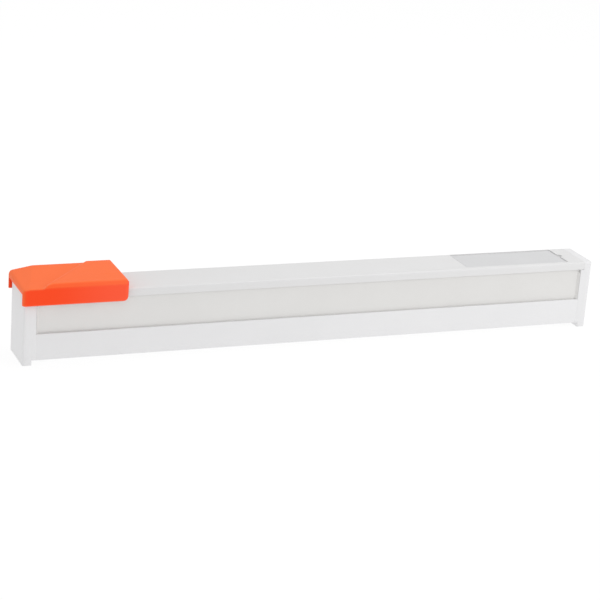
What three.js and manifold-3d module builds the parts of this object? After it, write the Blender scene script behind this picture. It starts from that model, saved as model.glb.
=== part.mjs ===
// A film dispenser with a sliding cutter. A long, slim, white trough holds a roll of film between two
// hubs. The film comes up behind the front window and out between the window and the lid's front lip.
// A saddle slider that hooks under both lips carries a small blade along that edge.
// Millimetres. +X runs along the dispenser, -Y is the front, +Z is up, z = 0 is under the end caps.

import * as THREE from 'three';
import { mergeVertices } from 'three/addons/utils/BufferGeometryUtils.js';
import Module from 'manifold-3d';

const wasm = await Module();
wasm.setup();

// ---- driving dimensions -------------------------------------------------------------------------

const LENGTH = 340;
const DEPTH = 27.3;
const HEIGHT = 40.2;
const GAP = 0.3;
const TROUGH_Z = 2.7;
const SEAM_Z = 17.75;
const LIP_BOTTOM = 35.8;
const INSET = 1.5;
const WALL = 1.8;
const FLANGE = 4.8;
const UPRIGHT = 6.9;

const HALF = LENGTH / 2;
const FRONT = -DEPTH / 2;
const BACK = DEPTH / 2;
const SEAM = 0.15;
const PANEL_END = HALF - UPRIGHT - SEAM;
const LID_END = HALF - FLANGE - SEAM;

const AXIS_Y = 0.8;
const AXIS_Z = 18;
const ROLL_RADIUS = 10.4;
const ROLL_HALF = 149.7;
const CORE_RADIUS = 6.2;
const CORE_BORE = 4.8;
const CORE_HALF = 150.4;
const SPIGOT_RADIUS = 4.4;

const LABEL_X0 = 89;
const LABEL_X1 = 155.4;
const LABEL_Y0 = FRONT + 3.1;
const LABEL_Y1 = BACK - 1.2;
const LABEL_DEPTH = 1.1;
const LABEL_SUNK = 0.45;
const NOTCH_Y = 1.2;
const NOTCH_RADIUS = 2.2;

const SLIDER_END = 1.4;
const SLIDER_X0 = -HALF - SLIDER_END;
const SLIDER_LENGTH = 57.7;
const SLIDER_X1 = SLIDER_X0 + SLIDER_LENGTH;
const SLIDER_OVERHANG = 3;
const SLIDER_BOTTOM = 34.1;
const SLIDER_SHOULDER = 43.7;
const SLIDER_TOP = 46.7;
const SLIDER_TOP_FRONT = 45.9;
const SLIDER_WALL = 1.3;

const ROUND_STEPS = 48;
const SMALL_STEPS = 24;

// ---- materials ----------------------------------------------------------------------------------

const paint = (color, roughness, metalness = 0) =>
  new THREE.MeshStandardMaterial({ color, roughness, metalness });

const whiteShell = () => paint(0xf2f1f2, 0.45);
const frosted = () => paint(0xe9e7e3, 0.55);
const orange = () => paint(0xff5a2a, 0.4);
const steel = () => paint(0xc8cacc, 0.3, 1);
const rubber = () => paint(0xeceaea, 0.85);

// ---- shape helpers ------------------------------------------------------------------------------

/** A closed outline through corners [a, b, radius]; a radius rounds its corner. */
function outline(corners) {
  const shape = new THREE.Shape();
  const points = corners.map(([a, b]) => new THREE.Vector2(a, b));
  corners.forEach(([, , radius = 0], i) => {
    const here = points[i];
    const before = points[(i + points.length - 1) % points.length];
    const after = points[(i + 1) % points.length];
    const start = here.clone().add(before.clone().sub(here).setLength(radius));
    const end = here.clone().add(after.clone().sub(here).setLength(radius));
    if (i === 0) shape.moveTo(start.x, start.y);
    else shape.lineTo(start.x, start.y);
    if (radius > 0) shape.quadraticCurveTo(here.x, here.y, end.x, end.y);
  });
  return shape;
}

/** Corners of a rectangle, all with one radius. */
const rect = (a0, b0, a1, b1, r = 0) => [[a0, b0, r], [a1, b0, r], [a1, b1, r], [a0, b1, r]];

const FRAMES = {
  X: [[0, 1, 0], [0, 0, 1], [1, 0, 0]],
  Y: [[0, 0, 1], [1, 0, 0], [0, 1, 0]],
  Z: [[1, 0, 0], [0, 1, 0], [0, 0, 1]],
};

/** An outline pushed along one axis: (y, z) along X, (z, x) along Y, or (x, y) along Z. */
function prism(axis, corners, from, to) {
  const geometry = new THREE.ExtrudeGeometry(outline(corners), {
    depth: to - from, bevelEnabled: false, curveSegments: 5,
  });
  const [a, b, c] = FRAMES[axis].map((v) => new THREE.Vector3(...v));
  geometry.applyMatrix4(new THREE.Matrix4().makeBasis(a, b, c));
  const shift = c.clone().multiplyScalar(from);
  return geometry.translate(shift.x, shift.y, shift.z);
}

const box = (x0, x1, y0, y1, z0, z1) => prism('X', rect(y0, z0, y1, z1), x0, x1);

/** A turned piece about the X axis line through (y, z); the profile lists [x, radius] pairs. */
function turnedX(profile, y, z, steps = ROUND_STEPS) {
  const points = profile.map(([x, r]) => new THREE.Vector2(r, x));
  return new THREE.LatheGeometry(points, steps).rotateZ(-Math.PI / 2).translate(0, y, z);
}

/** A turned piece about a vertical line through (x, y); the profile lists [z, radius] pairs. */
function turnedZ(profile, x, y, steps = SMALL_STEPS) {
  const points = profile.map(([z, r]) => new THREE.Vector2(r, z));
  return new THREE.LatheGeometry(points, steps).rotateX(Math.PI / 2).translate(x, y, 0);
}

/** A tube profile for turnedX: outer and inner radius between two ends, closed on itself. */
const tube = (x0, x1, outer, inner) => [[x0, inner], [x0, outer], [x1, outer], [x1, inner], [x0, inner]];

/** A rod profile: from the axis out to a radius and back to the axis. */
const rod = (from, to, radius) => [[from, 0], [from, radius], [to, radius], [to, 0]];

// ---- solids -------------------------------------------------------------------------------------

/** A geometry with position only and its shared vertices merged. */
function welded(geometry) {
  const bare = geometry.clone();
  for (const name of ['normal', 'uv']) bare.deleteAttribute(name);
  return mergeVertices(bare, 1e-4);
}

function toSolid(geometry) {
  const closed = welded(geometry);
  return new wasm.Manifold(new wasm.Mesh({
    numProp: 3,
    vertProperties: new Float32Array(closed.attributes.position.array),
    triVerts: new Uint32Array(closed.index.array),
  }));
}

function toGeometry(solid) {
  const mesh = solid.getMesh();
  const geometry = new THREE.BufferGeometry();
  geometry.setAttribute('position', new THREE.BufferAttribute(new Float32Array(mesh.vertProperties), 3));
  geometry.setIndex(new THREE.BufferAttribute(new Uint32Array(mesh.triVerts), 1));
  geometry.computeVertexNormals();
  return geometry;
}

/** One body from pieces that are joined and then pieces that are cut away. */
function carve(joined, removed = []) {
  const body = joined.map(toSolid).reduce((a, b) => a.add(b));
  return toGeometry(removed.map(toSolid).reduce((a, b) => a.subtract(b), body));
}

const common = (first, second) => toGeometry(toSolid(first).intersect(toSolid(second)));

/** The same piece at the other end of the dispenser. */
function mirroredX(geometry) {
  const copy = welded(geometry).applyMatrix4(new THREE.Matrix4().makeScale(-1, 1, 1));
  const index = copy.index.array;
  for (let i = 0; i < index.length; i += 3) {
    [index[i], index[i + 1]] = [index[i + 1], index[i]];
  }
  copy.computeVertexNormals();
  return copy;
}

const dispenser = new THREE.Group();

function place(name, geometry, material, parent = dispenser) {
  const mesh = new THREE.Mesh(geometry, material);
  mesh.name = name;
  parent.add(mesh);
  return mesh;
}

// ---- body of the dispenser ----------------------------------------------------------------------

const FLOOR_TOP = TROUGH_Z + WALL;
const WINDOW_FACE = FRONT + INSET;
const WINDOW_THICKNESS = 1.2;
const WINDOW_BACK = WINDOW_FACE + WINDOW_THICKNESS;
const WINDOW_FOOT = SEAM_Z - 3;
const WINDOW_TOP = 37.4;
const WINDOW_ROUND = 0.5;
const GROOVE = 0.5;
const GRIP_BOTTOM = 29.5;
const GRIP_TOP = 33;
const GRIP_THICKNESS = 0.8;
const GRIP_HALF = 150;
const BACK_STEP = 33;
const BACK_TOP = LIP_BOTTOM - 0.5;
const BODY_ROUND = 0.8;
const CHANNEL_WALL = 1;
const CHANNEL_RAMP = 3.5;
const SCREW_X = 159.2;
const SCREW_ROWS = [-5.5, 7.1];
const SCREW_HEAD = 2.4;
const SCREW_SHANK = 1.2;
const SCREW_LENGTH = 4;
const HOLE_HEAD = 2.8;
const HOLE_SHANK = 1.5;

/** The extruded trough: a low front wall with a channel for the window, a floor and a high back. */
function troughOutline() {
  return [
    [FRONT, TROUGH_Z, BODY_ROUND], [BACK, TROUGH_Z, BODY_ROUND],
    [BACK, BACK_STEP - 1], [BACK - INSET, BACK_STEP], [BACK - INSET, BACK_TOP],
    [BACK - INSET - WALL, BACK_TOP], [BACK - INSET - WALL, BACK_STEP - 1],
    [BACK - WALL, BACK_STEP - 2.2], [BACK - WALL, FLOOR_TOP],
    [FRONT + WALL, FLOOR_TOP], [FRONT + WALL, WINDOW_FOOT - CHANNEL_RAMP],
    [WINDOW_BACK + CHANNEL_WALL, WINDOW_FOOT - WALL], [WINDOW_BACK + CHANNEL_WALL, SEAM_Z - 0.5],
    [WINDOW_BACK + GAP, SEAM_Z - 0.5], [WINDOW_BACK + GAP, WINDOW_FOOT - GAP],
    [WINDOW_FACE - GROOVE, WINDOW_FOOT - GAP], [WINDOW_FACE - GROOVE, SEAM_Z - GAP],
    [FRONT, SEAM_Z - GAP, 0.35],
  ];
}

function baseTrough() {
  const shell = prism('X', troughOutline(), -PANEL_END, PANEL_END);
  const holes = [];
  for (const x of [-SCREW_X, SCREW_X]) {
    for (const y of SCREW_ROWS) {
      const bottom = TROUGH_Z - 1;
      const profile = [
        [bottom, 0], [bottom, HOLE_HEAD], [TROUGH_Z + 0.3, HOLE_HEAD],
        [FLOOR_TOP - 0.3, HOLE_SHANK], [FLOOR_TOP + 1, HOLE_SHANK], [FLOOR_TOP + 1, 0],
      ];
      holes.push(turnedZ(profile, x, y));
    }
  }
  return carve([shell], holes);
}

const frontWindow = () => prism('X', [
  [WINDOW_FACE, WINDOW_FOOT], [WINDOW_BACK, WINDOW_FOOT],
  [WINDOW_BACK, WINDOW_TOP, WINDOW_ROUND], [WINDOW_FACE, WINDOW_TOP, WINDOW_ROUND],
], -PANEL_END, PANEL_END);

/** A soft strip on the back of the window that keeps the film's end from falling back. */
const filmGrip = () => prism('X',
  rect(WINDOW_BACK + GAP, GRIP_BOTTOM, WINDOW_BACK + GAP + GRIP_THICKNESS, GRIP_TOP, 0.3),
  -GRIP_HALF, GRIP_HALF);

// ---- end caps -----------------------------------------------------------------------------------

const CAP_ROUND = 1.6;
const TOP_ROUND = 1.1;
const PLUG_END = HALF - 13;
const PLUG_FRONT = WINDOW_BACK + CHANNEL_WALL + GAP;
const PLUG_BACK = BACK - WALL - GAP;
const PLUG_TOP = 29.5;
const PLUG_WALL = 1.5;
const PLUG_FLOOR = 9.4;
const STEP_ROOF = 34;
const OVERLAP = 0.5;
const BOSS_START = 160.2;
const BOSS_RADIUS = 6.3;
const HUB_BORE = 4.5;
const HUB_BORE_END = HALF - 2.6;
const LATCH_SLOT = { x0: 158.3, x1: 162.1, y0: -4.2, y1: 5.8 };

/** The outer flange, rounded on its upright edges; it reaches below the trough and is the foot. */
function capFlange() {
  const inner = HALF - FLANGE;
  const plan = [[inner, FRONT], [HALF, FRONT, CAP_ROUND], [HALF, BACK, CAP_ROUND], [inner, BACK]];
  const side = [[FRONT, 0, 0.5], [BACK, 0, 0.5], [BACK, HEIGHT, TOP_ROUND], [FRONT, HEIGHT, TOP_ROUND]];
  return common(prism('Z', plan, -1, HEIGHT + 1), prism('X', side, inner - 1, HALF + 1));
}

/** The right end cap as a solid; the left one is its mirror image. */
function endCap() {
  const inner = HALF - FLANGE;
  const back = inner + OVERLAP;
  const [y0, y1] = [PLUG_FRONT + PLUG_WALL, PLUG_BACK - PLUG_WALL];
  const step = prism('X', [
    [FRONT, TROUGH_Z, BODY_ROUND], [BACK, TROUGH_Z, BODY_ROUND],
    [BACK, LIP_BOTTOM - SEAM], [FRONT, LIP_BOTTOM - SEAM],
  ], HALF - UPRIGHT, back);
  const plug = box(PLUG_END, back, PLUG_FRONT, PLUG_BACK, FLOOR_TOP + GAP, PLUG_TOP);
  const cavity = box(PLUG_END - 1, inner, y0, y1, PLUG_FLOOR, PLUG_TOP - PLUG_WALL);
  const boss = turnedX(rod(BOSS_START, back, BOSS_RADIUS), AXIS_Y, AXIS_Z);
  const stepCavity = box(HALF - UPRIGHT - 1, inner, y0, y1, PLUG_TOP + PLUG_WALL, STEP_ROOF);
  const bore = turnedX(rod(BOSS_START - 1, HUB_BORE_END, HUB_BORE), AXIS_Y, AXIS_Z);
  const slot = box(LATCH_SLOT.x0, LATCH_SLOT.x1, LATCH_SLOT.y0, LATCH_SLOT.y1, PLUG_TOP - 3, PLUG_TOP + 1);
  const hollow = toGeometry(toSolid(plug).subtract(toSolid(cavity)));
  const pilots = SCREW_ROWS.map((y) =>
    turnedZ(rod(FLOOR_TOP - 1, FLOOR_TOP + SCREW_LENGTH + 0.4, HOLE_SHANK), SCREW_X, y));
  const shell = carve([capFlange(), step, hollow], [stepCavity, slot, ...pilots]);
  return carve([shell, boss], [bore]);
}

/** A countersunk screw driven up through the floor into an end cap. */
function baseScrew(x, y) {
  const bottom = TROUGH_Z + 0.2;
  return turnedZ([
    [bottom, 0], [bottom, SCREW_HEAD], [FLOOR_TOP - 0.5, SCREW_SHANK],
    [FLOOR_TOP + SCREW_LENGTH - 0.6, SCREW_SHANK],
    [FLOOR_TOP + SCREW_LENGTH, 0.5], [FLOOR_TOP + SCREW_LENGTH, 0],
  ], x, y);
}

// ---- roll, hubs and spring ----------------------------------------------------------------------

const NOSE_RADIUS = 2.6;
const SPRUNG_NOSE = 146.5;
const FIXED_NOSE = -142;
const FIXED_END = -165.5;
const COLLAR_START = 151;
const COLLAR_END = 152.6;
const STEM_RADIUS = 3.2;
const RING_START = 158.6;
const RING_END = BOSS_START - GAP;
const REAR_FLANGE = BOSS_START + GAP;
const STEM_END = REAR_FLANGE + 1.6;
const SPRING_POCKET = 154.6;
const POCKET_RADIUS = 2.4;
const SPRING_RADIUS = 1.7;
const WIRE_RADIUS = 0.28;
const SPRING_TURNS = 8;

const filmRoll = () => turnedX(tube(-ROLL_HALF, ROLL_HALF, ROLL_RADIUS, CORE_RADIUS + GAP), AXIS_Y, AXIS_Z);
const coreTube = () => turnedX(tube(-CORE_HALF, CORE_HALF, CORE_RADIUS, CORE_BORE), AXIS_Y, AXIS_Z);

/** The sprung hub at the right: nose in the core, collar, stem and a rear flange with a pocket. */
const sprungHub = () => turnedX([
  [SPRUNG_NOSE, 0], [SPRUNG_NOSE, NOSE_RADIUS],
  [SPRUNG_NOSE + 1.5, SPIGOT_RADIUS], [COLLAR_START, SPIGOT_RADIUS],
  [COLLAR_START, CORE_RADIUS], [COLLAR_END, CORE_RADIUS], [COLLAR_END, STEM_RADIUS],
  [REAR_FLANGE, STEM_RADIUS], [REAR_FLANGE, HUB_BORE - GAP], [STEM_END, HUB_BORE - GAP],
  [STEM_END, POCKET_RADIUS], [SPRING_POCKET, POCKET_RADIUS], [SPRING_POCKET, 0],
], AXIS_Y, AXIS_Z, SMALL_STEPS);

/** The fixed hub at the left, pressed into its boss. */
const fixedHub = () => turnedX([
  [FIXED_END, 0], [FIXED_END, HUB_BORE - GAP],
  [-COLLAR_END, HUB_BORE - GAP], [-COLLAR_END, CORE_RADIUS],
  [-COLLAR_START, CORE_RADIUS], [-COLLAR_START, SPIGOT_RADIUS],
  [FIXED_NOSE - 2, SPIGOT_RADIUS], [FIXED_NOSE, NOSE_RADIUS], [FIXED_NOSE, 0],
], AXIS_Y, AXIS_Z, SMALL_STEPS);

const hubRing = () => turnedX(tube(RING_START, RING_END, BOSS_RADIUS, STEM_RADIUS + GAP),
  AXIS_Y, AXIS_Z, SMALL_STEPS);

/** The helix of the hub spring, centred on the roll's axis line. */
class SpringLine extends THREE.Curve {
  constructor(start, end) {
    super();
    this.start = start;
    this.end = end;
  }

  getPoint(t, target = new THREE.Vector3()) {
    const angle = t * SPRING_TURNS * 2 * Math.PI;
    const y = AXIS_Y + SPRING_RADIUS * Math.cos(angle);
    const z = AXIS_Z + SPRING_RADIUS * Math.sin(angle);
    return target.set(this.start + t * (this.end - this.start), y, z);
  }
}

function hubSpring() {
  const wire = new THREE.Shape().absarc(0, 0, WIRE_RADIUS, 0, 2 * Math.PI);
  const line = new SpringLine(SPRING_POCKET + 0.6, HUB_BORE_END - 0.6);
  return new THREE.ExtrudeGeometry(wire, {
    steps: SPRING_TURNS * 10, curveSegments: 3, bevelEnabled: false, extrudePath: line,
  });
}

// ---- lid ----------------------------------------------------------------------------------------

const LID_PLATE = HEIGHT - WALL;
const LIP = 1.1;
const RIB = 1.1;
const RIB_FRONT = -9.2;
const RIB_BACK = 9.8;
const RIB_BOTTOM = 34;
const LATCH_X0 = 154;
const LATCH_X1 = 164;
const LATCH_BOTTOM = 35.9;
const TONGUE_X0 = 159.2;
const TONGUE_X1 = 160.6;
const TONGUE_HOOK = 0.9;
const TONGUE_BOTTOM = 25.5;
const TONGUE_PLAY = 0.8;

/** The lid rail: a top plate with a lip on each side and two ribs that stiffen it. */
function lidRail() {
  const rail = prism('X', [
    [FRONT, LIP_BOTTOM, 0.3], [FRONT + LIP, LIP_BOTTOM, 0.2], [FRONT + LIP, LID_PLATE],
    [RIB_FRONT, LID_PLATE], [RIB_FRONT, RIB_BOTTOM],
    [RIB_FRONT + RIB, RIB_BOTTOM], [RIB_FRONT + RIB, LID_PLATE],
    [RIB_BACK - RIB, LID_PLATE], [RIB_BACK - RIB, RIB_BOTTOM],
    [RIB_BACK, RIB_BOTTOM], [RIB_BACK, LID_PLATE],
    [BACK - LIP, LID_PLATE], [BACK - LIP, LIP_BOTTOM, 0.3], [BACK, LIP_BOTTOM, 0.3],
    [BACK, HEIGHT, TOP_ROUND], [FRONT, HEIGHT, TOP_ROUND],
  ], -LID_END, LID_END);
  const recess = prism('Z',
    rect(LABEL_X0, LABEL_Y0, LABEL_X1, LABEL_Y1, 0.6), HEIGHT - LABEL_DEPTH, HEIGHT + 1);
  const notch = turnedZ(rod(HEIGHT - LABEL_DEPTH, HEIGHT + 1, NOTCH_RADIUS), LABEL_X1, NOTCH_Y);
  const overStep = box(HALF - UPRIGHT - GAP, HALF, RIB_FRONT - 0.1, RIB_BACK + 0.1, RIB_BOTTOM - 1,
    LIP_BOTTOM + 0.2);
  return carve([rail], [recess, notch, overStep, mirroredX(overStep)]);
}

/** A thin grey plate that lies in the recess; the notch lets a fingernail lift it. */
const labelPlate = () => prism('Z',
  rect(LABEL_X0 + GAP, LABEL_Y0 + GAP, LABEL_X1 - GAP, LABEL_Y1 - GAP, 0.5),
  HEIGHT - LABEL_DEPTH + GAP, HEIGHT - LABEL_SUNK);

/** The snap block under the right end of the lid: a block between the ribs and a springy tongue. */
function lidLatch() {
  const [foot, hook] = [TONGUE_BOTTOM, TONGUE_X1 + TONGUE_HOOK];
  const block = box(LATCH_X0, LATCH_X1, RIB_FRONT + RIB + GAP, RIB_BACK - RIB - GAP,
    LATCH_BOTTOM, LID_PLATE - GAP);
  const tongue = prism('Y', [
    [foot, TONGUE_X1 - 0.2, 0.3], [foot + 1, hook, 0.3], [foot + 2, hook, 0.3],
    [foot + 3, TONGUE_X1], [LATCH_BOTTOM + 0.6, TONGUE_X1],
    [LATCH_BOTTOM + 0.6, TONGUE_X0], [foot, TONGUE_X0, 0.3],
  ], LATCH_SLOT.y0 + TONGUE_PLAY, LATCH_SLOT.y1 - TONGUE_PLAY);
  return carve([block, tongue]);
}

// ---- slider -------------------------------------------------------------------------------------

const HOOK_X0 = -162;
const HOOK_X1 = -120;
const CARRIAGE_TOP = 41.9;
const CARRIAGE_SIDE = DEPTH / 2 + SLIDER_OVERHANG - SLIDER_WALL - GAP;
const HOOK_TIP = GAP - WINDOW_FACE;
const HOOK_BOTTOM = SLIDER_BOTTOM + 0.2;
const HOOK_TOP = LIP_BOTTOM - GAP;
const BLADE_X0 = -152;
const BLADE_X1 = -130;
const TAB_X0 = -147;
const TAB_X1 = -135;
const TAB_TOP = 39.5;
const TAB_POCKET = 0.65;
const TAB_THICKNESS = 0.3;
const BLADE_BACK = -12.8;
const BLADE_THICKNESS = 0.4;
const BLADE_TIP = 4;
const COVER_SIDE = DEPTH / 2 + SLIDER_OVERHANG;
const COVER_SCREWS = [[-123.5, -8], [-123.5, 8]];
const SMALL_HEAD = 1.5;
const SMALL_SHANK = 0.75;
const SMALL_SEAT = HEIGHT + GAP + 0.5;
const BOSS = 1.9;
const BOSS_PILOT = 1.05;
const LOW_CEILING = CARRIAGE_TOP + GAP;
const PLATEAU_X0 = -127;
const BEVEL_IN = 1.4;
const END_DROP = 2.5;
const END_SLOPE = 1.5;
const END_ROUND = 4.2;
const CORNER_ROUND = 2.2;
const EDGE_ROUND = 0.8;
const CREASE_FRONT = -162;
const CREASE_BACK = -128.2;
const FACET_FRONT = 43.5;
const FACET_BACK = 46.0;
const RAMP_X1 = -157;
const RAMP_FRONT = 43.0;
const RAMP_BACK = 43.6;
const RAMP_RISE = 2.5;
const RIM_LENGTH = 4;
const RIM_WALL = 1.9;
const RIM_ROUND = 1.8;
const RIM_TOP = 44.2;

/** The inner carriage: a saddle on the rail whose legs hook under both lips. */
function sliderCarriage() {
  const inner = DEPTH / 2 + GAP;
  const saddle = prism('X', [
    [-CARRIAGE_SIDE, HOOK_BOTTOM, 0.2], [-HOOK_TIP, HOOK_BOTTOM, 0.2], [-HOOK_TIP, HOOK_TOP, 0.2],
    [-inner, HOOK_TOP], [-inner, HEIGHT + GAP], [inner, HEIGHT + GAP], [inner, HOOK_TOP],
    [HOOK_TIP, HOOK_TOP, 0.2], [HOOK_TIP, HOOK_BOTTOM, 0.2], [CARRIAGE_SIDE, HOOK_BOTTOM, 0.2],
    [CARRIAGE_SIDE, CARRIAGE_TOP, 0.4], [-CARRIAGE_SIDE, CARRIAGE_TOP, 0.4],
  ], HOOK_X0, HOOK_X1);
  const seat = box(BLADE_X0 - GAP, BLADE_X1 + GAP, -CARRIAGE_SIDE - 1, -HOOK_TIP + 1,
    HOOK_BOTTOM - 1, HOOK_TOP + 0.4);
  const tabPocket = box(TAB_X0 - GAP, TAB_X1 + GAP, -CARRIAGE_SIDE - 1, -CARRIAGE_SIDE + TAB_POCKET,
    HOOK_BOTTOM, TAB_TOP + GAP);
  const holes = COVER_SCREWS.map(([x, y]) => turnedZ([
    [HEIGHT, 0], [HEIGHT, SMALL_HEAD + 0.4], [SMALL_SEAT, SMALL_HEAD + 0.4],
    [SMALL_SEAT + 0.4, SMALL_SHANK + 0.35],
    [CARRIAGE_TOP + 1, SMALL_SHANK + 0.35], [CARRIAGE_TOP + 1, 0],
  ], x, y));
  return carve([saddle], [seat, tabPocket, ...holes]);
}

/** The double-ended blade, bent round the carriage's front leg: cutting strip, foot and outer tab. */
function blade() {
  const foot = HOOK_BOTTOM + 0.1;
  const outer = -CARRIAGE_SIDE + 0.05;
  const strip = prism('Y', [
    [foot, BLADE_X0], [foot, BLADE_X1],
    [HOOK_TOP, BLADE_X1 - BLADE_TIP], [HOOK_TOP, BLADE_X0 + BLADE_TIP],
  ], BLADE_BACK - BLADE_THICKNESS, BLADE_BACK);
  const footPlate = box(TAB_X0, TAB_X1, outer, BLADE_BACK - 0.1, foot, foot + BLADE_THICKNESS);
  const tab = box(TAB_X0, TAB_X1, outer, outer + TAB_THICKNESS, foot, TAB_TOP);
  return carve([strip, footPlate, tab]);
}

/** The space above a sloped polygon, with walls that lean out by `lean` along X as they rise. */
function spaceAbove(corners, lift, lean) {
  const low = corners.map((p) => new THREE.Vector3(...p));
  const high = low.map((p, i) => p.clone().add(new THREE.Vector3(lean[i], 0, lift)));
  const positions = [...low, ...high].flatMap((p) => [p.x, p.y, p.z]);
  const n = low.length;
  const faces = [];
  for (let i = 1; i < n - 1; i += 1) {
    faces.push(0, i + 1, i, n, n + i, n + i + 1);
  }
  for (let i = 0; i < n; i += 1) {
    const j = (i + 1) % n;
    faces.push(i, j, n + j, i, n + j, n + i);
  }
  const geometry = new THREE.BufferGeometry();
  geometry.setAttribute('position', new THREE.Float32BufferAttribute(positions, 3));
  geometry.setIndex(faces);
  return geometry;
}

/** The cover's outer block: bevelled along the front, rounded at its right end. */
function coverBlock() {
  const side = COVER_SIDE;
  const section = prism('X', [
    [-side, SLIDER_BOTTOM, 0.5], [side, SLIDER_BOTTOM, 0.5], [side, SLIDER_TOP, 0.9],
    [-side + BEVEL_IN, SLIDER_TOP_FRONT, 0.4], [-side, SLIDER_SHOULDER, 0.4],
  ], SLIDER_X0, SLIDER_X1);
  const length = prism('Y', [
    [SLIDER_BOTTOM, SLIDER_X0], [SLIDER_BOTTOM, SLIDER_X1, END_ROUND],
    [SLIDER_TOP - END_DROP, SLIDER_X1, EDGE_ROUND], [SLIDER_TOP, SLIDER_X1 - END_SLOPE, EDGE_ROUND],
    [SLIDER_TOP, RAMP_X1], [RIM_TOP, SLIDER_X0 + 3], [RIM_TOP - 0.6, SLIDER_X0, 2.4],
  ], -side - 1, side + 1);
  const plan = prism('Z', [
    [SLIDER_X0, -side, RIM_ROUND], [SLIDER_X1, -side, CORNER_ROUND],
    [SLIDER_X1, side, CORNER_ROUND], [SLIDER_X0, side, RIM_ROUND],
  ], SLIDER_BOTTOM - 1, SLIDER_TOP + 1);
  return toGeometry(toSolid(section).intersect(toSolid(length)).intersect(toSolid(plan)));
}

/** The orange cover: a plateau at the right, lower facets at the left and a thicker open rim. */
function sliderCover() {
  const inner = COVER_SIDE - SLIDER_WALL;
  const end = SLIDER_X1 - SLIDER_WALL;
  const rimInner = COVER_SIDE - RIM_WALL;
  const mouth = box(SLIDER_X0 - 1, end, -rimInner, rimInner, SLIDER_BOTTOM - 1, HEIGHT + GAP);
  const behindRim = box(SLIDER_X0 + RIM_LENGTH, end, -inner, inner, SLIDER_BOTTOM - 1, HEIGHT + GAP);
  const hollow = box(HOOK_X0 - GAP, end, -inner, inner, SLIDER_BOTTOM - 1, LOW_CEILING);
  const dome = box(PLATEAU_X0, end, -inner, inner, LOW_CEILING - 1, SLIDER_TOP_FRONT - 1.4);
  const doorway = box(end - 1, SLIDER_X1 + 1, -inner, inner, SLIDER_BOTTOM - 1, HEIGHT + GAP);
  const left = SLIDER_X0 - 1;
  const far = COVER_SIDE + 1;
  const facet = spaceAbove([
    [left, -far, FACET_FRONT], [CREASE_FRONT, -far, FACET_FRONT],
    [CREASE_BACK, far, FACET_BACK], [left, far, FACET_BACK],
  ], 6, [0, 6, 6, 0]);
  const ramp = spaceAbove([
    [SLIDER_X0, -far, RAMP_FRONT], [RAMP_X1, -far, RAMP_FRONT + RAMP_RISE],
    [RAMP_X1, far, RAMP_BACK + RAMP_RISE], [SLIDER_X0, far, RAMP_BACK],
  ], 6, [-2, 0, 0, -2]);
  const shell = carve([coverBlock()], [mouth, behindRim, hollow, dome, doorway, facet, ramp]);
  const bosses = COVER_SCREWS.map(([x, y]) =>
    turnedZ(rod(LOW_CEILING, SLIDER_TOP_FRONT - 1, BOSS), x, y));
  const pilots = COVER_SCREWS.map(([x, y]) =>
    turnedZ(rod(LOW_CEILING - 1, SLIDER_TOP_FRONT - 1.7, BOSS_PILOT), x, y));
  return carve([shell, ...bosses], pilots);
}

/** A small screw up through the carriage plate into a boss under the cover's plateau. */
const coverScrew = ([x, y]) => turnedZ([
  [SMALL_SEAT - 0.4, 0], [SMALL_SEAT - 0.4, SMALL_HEAD], [SMALL_SEAT, SMALL_HEAD],
  [SMALL_SEAT + 0.4, SMALL_SHANK], [SLIDER_TOP_FRONT - 2, SMALL_SHANK], [SLIDER_TOP_FRONT - 2, 0],
], x, y);

// ---- assembly -----------------------------------------------------------------------------------

place('base_trough', baseTrough(), whiteShell());
place('front_window', frontWindow(), frosted());
place('film_grip_strip', filmGrip(), rubber());
const rightCap = endCap();
place('right_end_cap', rightCap, whiteShell());
place('left_end_cap', mirroredX(rightCap), whiteShell());
let count = 0;
for (const x of [-SCREW_X, SCREW_X]) {
  for (const y of SCREW_ROWS) {
    count += 1;
    place(`base_screw_${count}`, baseScrew(x, y), steel());
  }
}
place('fixed_hub', fixedHub(), whiteShell());
place('sprung_hub', sprungHub(), whiteShell());
place('hub_spring', hubSpring(), steel());
place('hub_ring', hubRing(), whiteShell());
place('core_tube', coreTube(), paint(0xb9976a, 0.9));
place('film_roll', filmRoll(), paint(0xdde6ea, 0.2));
place('lid_rail', lidRail(), whiteShell());
place('label_plate', labelPlate(), paint(0xcfcfcf, 0.4));
place('right_lid_latch', lidLatch(), whiteShell());
place('left_lid_latch', mirroredX(lidLatch()), whiteShell());
place('slider_carriage', sliderCarriage(), whiteShell());
place('slider_cover', sliderCover(), orange());
place('blade', blade(), steel());
COVER_SCREWS.forEach((spot, i) => place(`cover_screw_${i + 1}`, coverScrew(spot), steel()));

// The origin is the middle of the whole footprint, slider included.
dispenser.position.x = SLIDER_END / 2;

export default dispenser;
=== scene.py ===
# %% [markdown]
# # A film dispenser with a sliding cutter
#
# This lesson dresses a finished design as a product picture. The design gives every piece its place
# and size, and the work here is the surface: the small radii that catch light, the grain of moulded
# plastic, the brushed steel, the wound film and the pale studio round them. We work in metres, with
# +X along the dispenser, -Y at the front and +Z up.

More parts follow.
